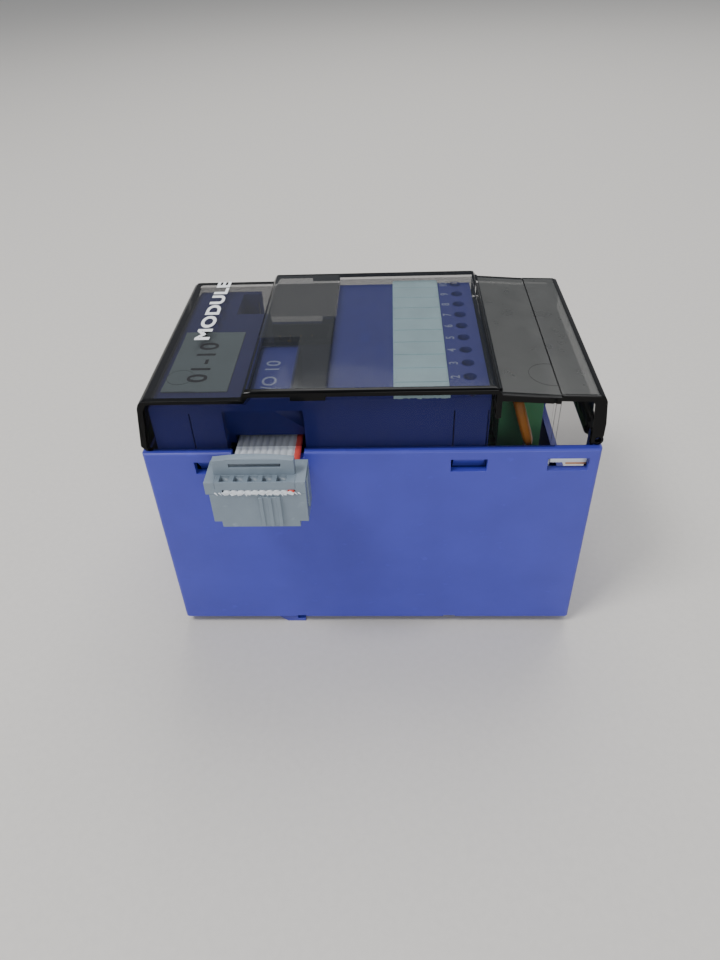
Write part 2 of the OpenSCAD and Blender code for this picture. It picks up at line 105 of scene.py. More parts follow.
def ramp(tree, factor, *stops):
    """A colour that runs through stops of (position, colour) as the factor rises."""
    made = tree.nodes.new("ShaderNodeValToRGB")
    tree.links.new(factor, made.inputs["Fac"])
    elements = made.color_ramp.elements
    while len(elements) < len(stops):
        elements.new(0.5)
    for element, (position, tone) in zip(elements, stops):
        element.position = position
        element.color = tone
    return made.outputs["Color"]


def start(name):
    """A new material, its tree, its shader and the object's own coordinates in metres."""
    material = bpy.data.materials.new(name)
    material.use_nodes = True
    tree = material.node_tree
    where = add(tree, "ShaderNodeTexCoord").outputs["Object"]
    return material, tree, tree.nodes["Principled BSDF"], where


def grain(tree, where, size, detail=3.0, stretch=(1, 1, 1)):
    """Noise with features of a size in millimetres."""
    mapped = add(tree, "ShaderNodeMapping", {"Vector": where, "Scale": stretch}).outputs["Vector"]
    return add(tree, "ShaderNodeTexNoise",
               {"Vector": mapped, "Scale": 1 / (size * MM), "Detail": detail}).outputs["Fac"]


def spread(tree, factor, low, high):
    """The middle of a noise, stretched to run from low to high."""
    return add(tree, "ShaderNodeMapRange",
               {"Value": factor, "From Min": 0.3, "From Max": 0.7, "To Min": low, "To Max": high}
               ).outputs["Result"]


def bump(tree, shader, factor, height):
    """Bump of a height in millimetres."""
    made = add(tree, "ShaderNodeBump", {"Height": factor, "Strength": 1.0, "Distance": height * MM})
    tree.links.new(made.outputs["Normal"], shader.inputs["Normal"])


def darker(tone, share):
    return tuple(value * share for value in tone[:3]) + (1.0,)


def moulded(name, tone, rough=(0.38, 0.5), texture=0.35, height=0.006, cloud=9.0, marks=0.5):
    """Moulded plastic: fine spark-eroded texture, faint flow clouds and scuffs that catch the light."""
    material, tree, shader, where = start(name)
    clouds = grain(tree, where, cloud)
    fine = grain(tree, where, texture, 2.0)
    scuffs = grain(tree, where, 2.6, 6.0, (1, 0.25, 1.6))
    base = ramp(tree, clouds, (0.3, darker(tone, 0.93)), (0.7, darker(tone, 1.05)))
    worn = ramp(tree, scuffs, (0.66, (0, 0, 0, 1)), (0.74, (1, 1, 1, 1)))
    mix = add(tree, "ShaderNodeMixRGB",
              {"Fac": worn, "Color1": base, "Color2": darker(tone, 1 + 0.22 * marks)})
    tree.links.new(mix.outputs["Color"], shader.inputs["Base Color"])
    tree.links.new(spread(tree, scuffs, *rough), shader.inputs["Roughness"])
    bump(tree, shader, fine, height)
    return material


def metal(name, tone, rough=(0.22, 0.38), stretch=(1, 1, 1), size=0.25):
    """Plated or turned metal with fine tool marks and slight tarnish."""
    material, tree, shader, where = start(name)
    shader.inputs["Metallic"].default_value = 1.0
    tarnish = grain(tree, where, 2.2, 4.0)
    lines = grain(tree, where, size, 2.0, stretch)
    tree.links.new(ramp(tree, tarnish, (0.3, darker(tone, 0.8)), (0.65, tone)), shader.inputs["Base Color"])
    tree.links.new(spread(tree, lines, *rough), shader.inputs["Roughness"])
    bump(tree, shader, lines, 0.002)
    return material


def smoked(name, tone, alpha, rough=(0.06, 0.12), texture=0.5, height=0.0006, ior=1.45):
    """Smoked clear plastic with faint swirls left by handling."""
    material, tree, shader, where = start(name)
    swirls = grain(tree, where, 5.0, 5.0)
    shader.inputs["Base Color"].default_value = tone
    shader.inputs["Alpha"].default_value = alpha
    shader.inputs["IOR"].default_value = ior
    tree.links.new(spread(tree, swirls, *rough), shader.inputs["Roughness"])
    bump(tree, shader, grain(tree, where, texture, 2.0), height)
    material.surface_render_method = "BLENDED"
    return material


def board(name, tone):
    """Circuit board: solder mask over copper tracks, with the weave of the glass faintly showing."""
    material, tree, shader, where = start(name)
    tracks = add(tree, "ShaderNodeTexBrick",
                 {"Vector": where, "Scale": 90.0, "Color1": (0, 0, 0, 1), "Color2": (0.2, 0.2, 0.2, 1),
                  "Mortar": (1, 1, 1, 1), "Mortar Size": 0.035, "Mortar Smooth": 0.2,
                  "Brick Width": 0.9, "Row Height": 0.22}, offset=0.37, offset_frequency=3)
    mask = add(tree, "ShaderNodeMixRGB", {"Fac": tracks.outputs["Color"], "Color1": tone,
                                          "Color2": darker(tone, 1.7)})
    tree.links.new(mask.outputs["Color"], shader.inputs["Base Color"])
    weave = grain(tree, where, 0.5, 2.0)
    tree.links.new(spread(tree, weave, 0.28, 0.4), shader.inputs["Roughness"])
    bump(tree, shader, tracks.outputs["Color"], 0.02)
    return material


def paper(name, tone):
    """Printed label stock with soft fibre and a little yellowing."""
    material, tree, shader, where = start(name)
    fibre = grain(tree, where, 0.4, 5.0)
    stain = grain(tree, where, 6.0, 3.0)
    tree.links.new(ramp(tree, stain, (0.35, tone), (0.8, darker(tone, 0.86))), shader.inputs["Base Color"])
    tree.links.new(spread(tree, fibre, 0.55, 0.75), shader.inputs["Roughness"])
    bump(tree, shader, fibre, 0.008)
    return material


def lamp(name, tone):
    """Tinted epoxy of a lamp that is off."""
    material, tree, shader, where = start(name)
    depth = grain(tree, where, 0.8, 2.0)
    tree.links.new(ramp(tree, depth, (0.3, darker(tone, 0.7)), (0.7, tone)), shader.inputs["Base Color"])
    shader.inputs["Roughness"].default_value = 0.18
    shader.inputs["Coat Weight"].default_value = 0.4
    return material


BLUE = colour(62, 66, 172)
PANEL = colour(52, 58, 156)
MATERIALS = {
    "housing_blue": moulded("housing_blue", BLUE, (0.34, 0.46)),
    "panel_blue": moulded("panel_blue", PANEL, (0.42, 0.55)),
    "board_green": board("board_green", colour(28, 92, 58)),
    "brass": metal("brass", colour(214, 178, 96)),
    "steel": metal("steel", colour(196, 198, 202)),
    "spring_steel": metal("spring_steel", colour(190, 192, 196), (0.18, 0.3)),
    "black_plastic": moulded("black_plastic", colour(34, 34, 37), (0.45, 0.6), marks=1.5),
    "label_white": paper("label_white", colour(216, 248, 254)),
    "label_grey": paper("label_grey", colour(166, 186, 188)),
    "lamp_red": lamp("lamp_red", colour(120, 44, 34)),
    "cable_grey": moulded("cable_grey", colour(214, 220, 226), (0.4, 0.55), 0.6, 0.004, 5.0),
    "plug_grey": moulded("plug_grey", colour(120, 133, 145), (0.36, 0.5), 0.3, 0.006, 4.0, 1.2),
    # painted light: the clamps' real green is lifted much lighter, to stand in for the light that the hood's
    # top keeps from them
    "clamp_green": moulded("clamp_green", colour(116, 206, 148), (0.36, 0.48)),
    "film_orange": moulded("film_orange", colour(206, 128, 40), (0.16, 0.28), 1.2, 0.02, 3.0),
    "ivory_plastic": moulded("ivory_plastic", colour(226, 224, 212), (0.4, 0.55)),
    "dark_sleeve": moulded("dark_sleeve", colour(34, 38, 62), (0.22, 0.34), 1.6, 0.006),
    "coil": moulded("coil", colour(52, 52, 56), (0.5, 0.7), 0.5, 0.02),
    "gold": metal("gold", colour(226, 190, 104), (0.16, 0.28)),
    "latch_black": moulded("latch_black", colour(40, 43, 54), (0.4, 0.55), marks=1.5),
    "smoked": smoked("smoked", colour(42, 45, 52), 0.3),
}
SHADE = smoked("smoked_thick", colour(42, 44, 46), 0.7)
# black rim finish of the hood's edges, also used as painted shade on the hood's left end wall
RIM_AND_SHADE = smoked("smoked_rim_and_shade", colour(4, 4, 5), 1.0, (0.1, 0.2), 0.4, 0.0015, 1.25)
GRAINED = smoked("smoked_grained", colour(53, 54, 52), 0.9, (0.26, 0.36), 0.16, 0.006)
WALL = smoked("smoked_wall", colour(8, 8, 10), 0.3, (0.06, 0.1), ior=1.25)
LEFT = smoked("smoked_left", colour(50, 50, 53), 0.44)
RED = moulded("cable_red", colour(226, 84, 74), (0.4, 0.55), 0.6, 0.004, 5.0)
INK_WHITE = paper("ink_white", colour(236, 238, 240))
INK_DARK = paper("ink_dark", colour(26, 28, 32))
INK_PALE = paper("ink_pale", colour(168, 176, 206))
COPPER_WIRE = metal("copper_wire", colour(200, 104, 62), (0.2, 0.34))
TINNED = metal("tinned", colour(206, 208, 210), (0.24, 0.4))
# painted sheen: the earth strip and pad get light non-metal coats in place of their plating, standing in for
# the metal's bright reflection
TIN_PAINTED_SHEEN = moulded("tin_painted_sheen", colour(236, 240, 240), (0.4, 0.5), 0.3, 0.002)
COPPER_PAINTED_SHEEN = moulded("copper_painted_sheen", colour(240, 180, 140), (0.4, 0.5), 0.3, 0.002)


# ---- mesh helpers ----

def piece(name, mesh, body, slot, *materials):
    """A new object on a body, with its materials in order."""
    made = bpy.data.objects.new(name, mesh)
    bpy.context.scene.collection.objects.link(made)
    for material in materials or (MATERIALS[slot],):
        mesh.materials.append(material)
    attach(made, body)
    return made


def to_mesh(name, work, angle=32):
    """A mesh from a bmesh, which is freed. Outer edges sharper than the angle are marked for rounding."""
    mesh = bpy.data.meshes.new(name)
    bmesh.ops.recalc_face_normals(work, faces=work.faces)
    weight = work.edges.layers.float.new("bevel_weight_edge")
    for edge in work.edges:
        if len(edge.link_faces) == 2 and edge.calc_face_angle_signed() > math.radians(angle):
            edge[weight] = 1
    work.to_mesh(mesh)
    work.free()
    return mesh


def clean_copy(node):
    """A bmesh of a CAD node with its flat faces joined back together."""
    work = bmesh.new()
    work.from_mesh(frame["nodes"][node].data)
    bmesh.ops.remove_doubles(work, verts=work.verts, dist=0.002 * MM)
    bmesh.ops.dissolve_limit(work, angle_limit=math.radians(0.6), verts=work.verts, edges=work.edges)
    return work


def bevelled(mesh, width, segments=2):
    """The mesh with its marked edges rounded to a width in millimetres."""
    holder = bpy.data.objects.new("holder", mesh)
    bpy.context.scene.collection.objects.link(holder)
    for polygon in mesh.polygons:
        polygon.use_smooth = True
    rounder = holder.modifiers.new("round", "BEVEL")
    rounder.width = width * MM
    rounder.segments = segments
    rounder.limit_method = "WEIGHT"
    rounder.use_clamp_overlap = False
    flatter = holder.modifiers.new("flat", "WEIGHTED_NORMAL")
    flatter.weight = 100
    graph = bpy.context.evaluated_depsgraph_get()
    made = bpy.data.meshes.new_from_object(holder.evaluated_get(graph))
    bpy.data.objects.remove(holder)
    return made


def soften(name, node, width, body="housing", material=None, segments=2):
    """A copy of a CAD node with rounded edges, which stands for it."""
    slot = next(s["material_slot"] for s in frame["record"]["subparts"] if s["node"] == node)
    mesh = bevelled(to_mesh(name, clean_copy(node)), width, segments)
    made = piece(name, mesh, body, slot, material or MATERIALS[slot])
    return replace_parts(made, node)


def put_box(work, low, high, material=0):
    """A box between two corners in millimetres, added to a bmesh."""
    centre = [(a + b) / 2 for a, b in zip(low, high)]
    size = [b - a for a, b in zip(low, high)]
    made = bmesh.ops.create_cube(
        work, size=1, matrix=Matrix.Translation(mm(*centre)) @ Matrix.Diagonal(mm(*size).to_4d()))
    for face in {face for vertex in made["verts"] for face in vertex.link_faces}:
        face.material_index = material


def put_rod(work, low, high, radius, material=0, sides=20, radius_top=None):
    """A rod or cone between two points in millimetres, added to a bmesh."""
    axis = Vector(high) - Vector(low)
    turn = axis.to_track_quat("Z", "Y").to_matrix().to_4x4()
    middle = (Vector(high) + Vector(low)) / 2
    made = bmesh.ops.create_cone(
        work, cap_ends=True, segments=sides, radius1=radius * MM,
        radius2=(radius if radius_top is None else radius_top) * MM, depth=axis.length * MM,
        matrix=Matrix.Translation(mm(*middle)) @ turn)
    for face in {face for vertex in made["verts"] for face in vertex.link_faces}:
        face.material_index = material


def tube(work, path, radius, sides=10, material=0):
    """A round tube along points in millimetres, added to a bmesh."""
    points = [Vector(point) for point in path]
    side = Vector((0, 0, 1))
    rings = []
    for i, point in enumerate(points):
        along = (points[min(i + 1, len(points) - 1)] - points[max(i - 1, 0)]).normalized()
        side = (side - along * side.dot(along)).normalized() if abs(side.dot(along)) < 0.99 \
            else along.orthogonal().normalized()
        other = along.cross(side)
        rings.append([
            work.verts.new(mm(*(point + radius * (math.cos(t) * side + math.sin(t) * other))))
            for t in (2 * math.pi * k / sides for k in range(sides))])
    for a, b in zip(rings, rings[1:]):
        for k in range(sides):
            work.faces.new((a[k], a[(k + 1) % sides], b[(k + 1) % sides], b[k])).material_index = material
    for ring in (rings[0], rings[-1]):
        work.faces.new(ring).material_index = material


def smooth_path(points, steps=6):
    """Points along a smooth curve through the given points."""
    ends = [points[0]] + list(points) + [points[-1]]
    result = []
    for a, b, c, d in zip(ends, ends[1:], ends[2:], ends[3:]):
        for k in range(steps):
            t = k / steps
            result.append([0.5 * (2 * q + (r - p) * t + (2 * p - 5 * q + 4 * r - s) * t * t
                                  + (3 * q - p - 3 * r + s) * t ** 3)
                           for p, q, r, s in zip(a, b, c, d)])
    return result + [list(points[-1])]


def lettering(name, text, height, place, turn, body, slot, ink, spacing=1.0, weight=0.0, width=None):
    """Printed text as a thin mesh, centred on a place, with its baseline turned by an angle."""
    curve = bpy.data.curves.new(name, "FONT")
    curve.body = text
    curve.size = height * MM * 1.4
    curve.space_character = spacing
    curve.offset = weight * MM
    curve.extrude = 0.01 * MM
    curve.align_x = "CENTER"
    curve.align_y = "CENTER"
    holder = bpy.data.objects.new(name + "_curve", curve)
    bpy.context.scene.collection.objects.link(holder)
    graph = bpy.context.evaluated_depsgraph_get()
    mesh = bpy.data.meshes.new_from_object(holder.evaluated_get(graph))
    bpy.data.objects.remove(holder)
    xs = [vertex.co.x for vertex in mesh.vertices]
    stretch = 1.0 if width is None else width * MM / (max(xs) - min(xs))
    mesh.transform(Matrix.Translation(mm(*place)) @ Matrix.Rotation(math.radians(turn), 4, "Z")
                   @ Matrix.Diagonal((stretch, 1, 1, 1)))
    return piece(name, mesh, body, slot, ink)


# ---- housing and front panel ----

def housing():
    soften("housing_shell", "base", 0.1)
    soften("front_panel", "upper_block", 0.1)


# ---- smoked hood ----

# underside of the hood across the front, X and Z, as in the part
HOLLOW = [(-41.9, 48), (-42.1, 49.7), (-41.1, 57.6), (-40.4, 58.8), (-39.9, 59), (-22.4, 59),
          (-21.4, 60.25), (22.98, 60.25), (24.03, 58.77), (34.4, 58.01), (34.6, 58.35),
          (40.1, 58.15), (40.5, 57.6), (41, 51.2), (41, 48)]
# places where the finish of the hood changes
WALL_Y = 24.55
LIP_X = 41.2
STEP_X = (-22.4, -22)
TAB_X = (-13.85, -7.5)
TAB_Y = -5.2
TAB_Z = 59.45
RIB_X = (22.98, 24.03)
END_Z = (50.3, 55.2, 57.6)
CLEAR, THICK, DARK_EDGE_AND_SHADE, MATT, SIDE, LOW = range(6)


def inside(outline, x, z):
    """Whether a point is inside a closed outline."""
    found = False
    for (x1, z1), (x2, z2) in zip(outline, outline[1:] + outline[:1]):
        if (z1 > z) != (z2 > z) and x < (x2 - x1) * (z - z1) / (z2 - z1) + x1:
            found = not found
    return found


def hood_face(x, y, z, normal):
    """Finish of a hood face: black where light runs along inside a wall, and black as painted shade on the
    left end wall.
    """
    rib = RIB_X[0] < x < RIB_X[1] and z > END_Z[1]
    tab = TAB_X[0] < x < TAB_X[1] and z > TAB_Z
    if abs(normal.y) > 0.7 and abs(y) > 23.5:
        return SIDE if inside(HOLLOW, x, z) and not rib and not tab else DARK_EDGE_AND_SHADE
    if abs(y) > 24.4 and z < 51.3 and -41 < x < 40:
        return SIDE
    if rib and z < 60.3:
        return DARK_EDGE_AND_SHADE
    # painted shade: the left end wall gets the black rim finish in place of clear smoked plastic
    if abs(normal.x) > 0.9 and abs(x) > 40 and END_Z[0] < z < END_Z[2] and abs(y) < WALL_Y:
        return SIDE if x > 0 and z < END_Z[1] else DARK_EDGE_AND_SHADE
    if abs(y) > WALL_Y or abs(x) > LIP_X or z < 52:
        return DARK_EDGE_AND_SHADE
    if z > 59.4 and STEP_X[1] < x < TAB_X[1] and not (x < TAB_X[0] and y < TAB_Y):
        return THICK
    if abs(normal.x) > 0.3 and z > 58.5:
        return DARK_EDGE_AND_SHADE
    if x < STEP_X[0]:
        return LOW
    return MATT if x > 24.1 else CLEAR


def hood():
    work = clean_copy("hood")
    cuts = [((x, 0, 0), (1, 0, 0)) for x in (-LIP_X, *STEP_X, *TAB_X, *RIB_X, LIP_X)]
    cuts += [((0, y, 0), (0, 1, 0)) for y in (-WALL_Y, TAB_Y, WALL_Y)]
    cuts += [((0, 0, z), (0, 0, 1)) for z in (*END_Z, TAB_Z)]
    cuts += [((x1, 0, z1), (z1 - z2, 0, x2 - x1)) for (x1, z1), (x2, z2) in zip(HOLLOW, HOLLOW[1:])]
    for place, direction in cuts:
        bmesh.ops.bisect_plane(work, geom=work.verts[:] + work.edges[:] + work.faces[:], dist=1e-7,
                               plane_co=mm(*place), plane_no=Vector(direction).normalized())
    mesh = bevelled(to_mesh("smoked_hood", work), 0.12)
    for polygon in mesh.polygons:
        polygon.material_index = hood_face(*(polygon.center / MM), polygon.normal)
    made = piece("smoked_hood", mesh, "hood", "smoked", MATERIALS["smoked"], SHADE, RIM_AND_SHADE, GRAINED, WALL, LEFT)
    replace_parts(made, "hood")
    ejector_marks()
    lettering("hood_title", "MODULE", 2.9, (-34.4, 11.6, 59.7), 90, "hood", "label_white", INK_WHITE,
              1.1, 0.16, 28.5)


def ejector_marks():
    """Faint rings that the mould's ejector pins leave under the low parts of the hood."""
    work = bmesh.new()
    for x, y, z, fall, radius in ((33.6, -17.7, 59.33, -0.079, 3.9), (-35.6, -17.3, 59.71, 0, 2.6)):
        path = [(x + radius * math.cos(t), y + radius * math.sin(t),
                 z + fall * radius * min(math.cos(t), 0.2))
                for t in (2 * math.pi * k / 48 for k in range(49))]
        tube(work, path, 0.03, 6)
    piece("ejector_marks", to_mesh("ejector_marks", work), "hood", "smoked", SHADE)


# ---- labels and lamps ----

WINDOWS = 10
WINDOW_PITCH = 5.08
WINDOW_X = 18.95


def window_y(i):
    """Middle of a lamp window and of the writing cell beside it."""
    return (i - (WINDOWS - 1) / 2) * WINDOW_PITCH


def label_strip():
    """Pale strip with ten writing cells, a shallow groove between each two and a ragged front end."""
    low, high = low_high("label_strip")
    work = bmesh.new()
    put_box(work, low, (high.x, high.y, high.z - 0.2))
    for i in range(WINDOWS):
        middle = window_y(i)
        near = max(middle - WINDOW_PITCH / 2 + 0.14, low.y)
        far = min(middle + WINDOW_PITCH / 2 - 0.14, high.y)
        put_box(work, (low.x + 0.2, near, high.z - 0.25), (high.x - 0.2, far, high.z))
    # front end, torn off and folded over the edge
    for k in range(24):
        x = low.x + (high.x - low.x) * k / 24
        ragged = 0.25 * noise.noise((x * 1.7, 0.3, 0.0))
        put_box(work, (x, low.y - 0.1, high.z - 0.95 + ragged), (x + 0.425, low.y + 0.08, high.z - 0.1))
    made = piece("label_cells", bevelled(to_mesh("label_cells", work), 0.06), "housing", "label_white")
    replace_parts(made, "label_strip")


def labels():
    label_strip()
    low, high = low_high("marker_label")
    work = bmesh.new()
    put_box(work, low, high)
    bmesh.ops.subdivide_edges(work, edges=work.edges[:], cuts=8, use_grid_fill=True)
    for vertex in work.verts:
        x, y = vertex.co.x / MM, vertex.co.y / MM
        vertex.co.z += MM * 0.22 * max(0, (abs(y + 8.2) - 9) / 3) ** 2 * (1 if x < -33 else 0.4)
    made = piece("marker_paper", bevelled(to_mesh("marker_paper", work), 0.03, 1), "housing", "label_grey")
    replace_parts(made, "marker_label")
    lettering("marker_number", "01-10", 3.9, (-32.9, -8.8, high.z + 0.02), 90, "housing", "label_grey",
              INK_DARK, 1.1, 0.09, 15.6)
    lettering("panel_number", "I/O 10", 2.8, (-18.4, -16.6, 59.21), 90, "housing", "panel_blue",
              INK_PALE, 1.05, 0.03, 11.6)
    for i in range(WINDOWS):
        y = window_y(i)
        lettering(f"window_number_{i + 1}", str(i + 1), 1.7, (16.3, y, 59.21), 90, "housing",
                  "panel_blue", INK_PALE, 1.0, 0.05)


def window_rims():
    """A slim raised rim round each lamp window."""
    work = bmesh.new()
    for i in range(WINDOWS):
        y = window_y(i)
        path = [(WINDOW_X + 1.28 * math.cos(t), y + 1.28 * math.sin(t), 59.2)
                for t in (2 * math.pi * k / 32 for k in range(33))]
        tube(work, path, 0.09, 8)
    piece("window_rims", to_mesh("window_rims", work), "housing", "panel_blue")


# ---- flat cable and plug ----

# centre line of the flat cable, Y and Z, as in the part, with one more point on its level stretch
CABLE = [(-12, 45.1), (-12, 46.3), (-12.4, 47.2), (-13.3, 47.8), (-14.8, 48.05), (-20, 48.05),
         (-28.6, 48.05), (-30.2, 48.2), (-31.2, 48.5), (-38.3, 48.5)]
CABLE_X = -19.15
WIRES = 10
WIRE_PITCH = 1.27
WIRE_R = 0.45


def cable_section():
    """Outline of the flat cable across its width: ten round wires joined by thin webs."""
    steps = 8
    top = []
    for k in range(WIRES * steps + 1):
        x = (k / steps - WIRES / 2) * WIRE_PITCH
        across = (k % steps) / steps * 2 - 1
        top.append((x, max(0.08, WIRE_R * math.sqrt(max(0, 1 - (across * 1.12) ** 2)))))
    top[0] = (top[0][0] + 0.05, 0.05)
    top[-1] = (top[-1][0] - 0.05, 0.05)
    return top + [(x, -z) for x, z in reversed(top)]


def ribbon():
    section = cable_section()
    route = smooth_path(CABLE, 5)
    work = bmesh.new()
    rings = []
    last = len(route) - 1
    for i, (y, z) in enumerate(route):
        ahead, behind = route[min(i + 1, last)], route[max(i - 1, 0)]
        along = Vector((ahead[0] - behind[0], ahead[1] - behind[1])).normalized()
        ring = []
        for x, up in section:
            fray = 0.28 * noise.noise((x * 1.9, 3.0, up * 2)) if i == last else 0
            ring.append(work.verts.new(mm(CABLE_X + x, y - along.y * up + fray, z + along.x * up)))
        rings.append(ring)
    count = len(section)
    red_from = (WIRES / 2 - 1) * WIRE_PITCH
    for a, b in zip(rings, rings[1:]):
        for k in range(count):
            following = (k + 1) % count
            face = work.faces.new((a[k], a[following], b[following], b[k]))
            middle = (section[k][0] + section[following][0]) / 2
            face.material_index = 1 if middle > red_from else 0
            face.smooth = True
    for ring in (rings[0], rings[-1]):
        work.faces.new(ring)
    made = bpy.data.objects.new("flat_cable", to_mesh("flat_cable", work))
    bpy.context.scene.collection.objects.link(made)
    made.data.materials.append(MATERIALS["cable_grey"])
    made.data.materials.append(RED)
    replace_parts(made, "ribbon")
    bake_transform(made)


def plug():
    soften("plug_shell", "plug_socket", 0.1, "bus_plug")
    soften("plug_lid", "plug_cover", 0.06, "bus_plug")
    soften("plug_arch", "strain_relief", 0.08, "bus_plug")
    # pale burrs where the cable was trimmed after the lid was pressed on
    front = low_high("plug_socket")[0].y + 0.6
    pick = random.Random(11)
    work = bmesh.new()
    for k in range(24):
        x = CABLE_X - 7.6 + k * 0.64 + pick.uniform(-0.1, 0.1)
        reach = pick.uniform(0.1, 0.42)
        put_rod(work, (x - 0.25, front + 0.1, 48.35), (x + 0.3, front - reach, 48.3 - reach * 0.9),
                0.2, 0, 5, 0.04)
    piece("plug_burrs", to_mesh("plug_burrs", work), "bus_plug", "cable_grey")
    contacts = frame["nodes"]["plug_contacts"]
    contacts.data.materials.clear()
    contacts.data.materials.append(MATERIALS["gold"])


# ---- boards and electronics ----

def chip(work, low, high, legs, pitch, across_x):
    """A small outline package with gull-wing legs on two sides, added to a bmesh."""
    put_box(work, (low[0], low[1], low[2] + 0.15), high, 0)
    for k in range(legs):
        offset = (k - (legs - 1) / 2) * pitch
        for side in (-1, 1):
            if across_x:
                edge = low[0] if side < 0 else high[0]
                y = (low[1] + high[1]) / 2 + offset
                put_box(work, (min(edge, edge + side * 0.8), y - 0.2, low[2]),
                        (max(edge, edge + side * 0.8), y + 0.2, low[2] + 0.18), 1)
                put_box(work, (min(edge - side * 0.1, edge + side * 0.25), y - 0.2, low[2]),
                        (max(edge - side * 0.1, edge + side * 0.25), y + 0.2, low[2] + 0.7), 1)
            else:
                edge = low[1] if side < 0 else high[1]
                x = (low[0] + high[0]) / 2 + offset
                put_box(work, (x - 0.12, min(edge, edge + side * 0.7), low[2]),
                        (x + 0.12, max(edge, edge + side * 0.7), low[2] + 0.14), 1)


def chips():
    work = bmesh.new()
    low, high = low_high("optocouplers")
    pitch = (high.y - low.y - 4.6) / 7
    for i in range(8):
        y = low.y + i * pitch
        chip(work, (low.x + 0.8, y, low.z), (high.x - 0.8, y + 4.6, high.z), 2, 2.54, True)
    made = piece("coupler_packages", bevelled(to_mesh("coupler_packages", work), 0.08, 1), "housing",
                 "ivory_plastic", MATERIALS["ivory_plastic"], TINNED)
    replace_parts(made, "optocouplers")
    work = bmesh.new()
    low, high = low_high("bus_controller")
    chip(work, (low.x + 0.8, low.y + 0.8, low.z), (high.x - 0.8, high.y - 0.8, high.z), 16, 0.5, False)
    chip(work, (low.x + 0.8, low.y + 0.8, low.z), (high.x - 0.8, high.y - 0.8, high.z), 12, 0.65, True)
    made = piece("controller_package", bevelled(to_mesh("controller_package", work), 0.05, 1), "housing",
                 "black_plastic", MATERIALS["black_plastic"], TINNED)
    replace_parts(made, "bus_controller")


def small_parts(name, top, areas, count, seed):
    """Chip resistors and capacitors on solder, scattered over the free areas of a board."""
    pick = random.Random(seed)
    work = bmesh.new()
    for _ in range(count):
        x0, y0, x1, y1 = pick.choice(areas)
        x, y = pick.uniform(x0, x1), pick.uniform(y0, y1)
        long, wide, tall = pick.choice(((1.6, 0.8, 0.45), (2.0, 1.25, 0.6), (3.2, 1.6, 0.9)))
        if pick.random() < 0.5:
            long, wide = wide, long
        body = pick.choice((0, 1))
        put_box(work, (x - long / 2, y - wide / 2, top), (x + long / 2, y + wide / 2, top + tall), body)
        end = 0.18
        for side in (-1, 1):
            if long > wide:
                middle = x + side * (long / 2 - end / 2)
                put_box(work, (middle - end, y - wide / 2 - 0.04, top),
                        (middle + end, y + wide / 2 + 0.04, top + tall + 0.03), 2)
            else:
                middle = y + side * (wide / 2 - end / 2)
                put_box(work, (x - long / 2 - 0.04, middle - end, top),
                        (x + long / 2 + 0.04, middle + end, top + tall + 0.03), 2)
    piece(name, to_mesh(name, work), "housing", "black_plastic", MATERIALS["black_plastic"],
          COPPER_WIRE, TINNED)


def power_parts():
    """The wound coil, the two capacitors and the regulator on the lower board."""
    low, high = low_high("power_coil")
    x, y = (low.x + high.x) / 2, (low.y + high.y) / 2
    work = bmesh.new()
    put_box(work, (low.x, low.y, low.z), (high.x, high.y, low.z + 1.2))
    put_rod(work, (x, y, low.z + 1.2), (x, y, low.z + 2.2), 5.8, 0, 40)
    put_rod(work, (x, y, low.z + 2.2), (x, y, high.z - 1.2), 3.4, 0, 32)
    put_rod(work, (x, y, high.z - 1.2), (x, y, high.z), 5.8, 0, 40)
    turns, layers = 11, 2
    for layer in range(layers):
        radius = 4.1 + 0.5 * layer
        path = [(x + radius * math.cos(t), y + radius * math.sin(t), low.z + 2.5 + 0.5 * t / (2 * math.pi))
                for t in (2 * math.pi * k / 24 for k in range(24 * turns))]
        tube(work, path, 0.26, 6, 1)
    made = piece("wound_coil", to_mesh("wound_coil", work), "housing", "coil", MATERIALS["coil"], COPPER_WIRE)
    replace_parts(made, "power_coil")
    soften("regulator_package", "regulator", 0.15)
    work = bmesh.new()
    low, high = low_high("electrolytic_caps")
    for y in (low.y + 4.2, high.y - 4.2):
        x = (low.x + high.x) / 2
        put_rod(work, (x, y, low.z), (x, y, low.z + 0.9), 4.15, 0, 40)
        put_rod(work, (x, y, low.z + 0.9), (x, y, low.z + 1.5), 3.9, 0, 40)
        put_rod(work, (x, y, low.z + 1.5), (x, y, high.z - 0.3), 4.2, 0, 40)
        put_rod(work, (x, y, high.z - 0.35), (x, y, high.z - 0.05), 3.6, 1, 40)
    made = piece("can_capacitors", bevelled(to_mesh("can_capacitors", work), 0.2), "housing",
                 "dark_sleeve", MATERIALS["dark_sleeve"], TINNED)
    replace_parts(made, "electrolytic_caps")


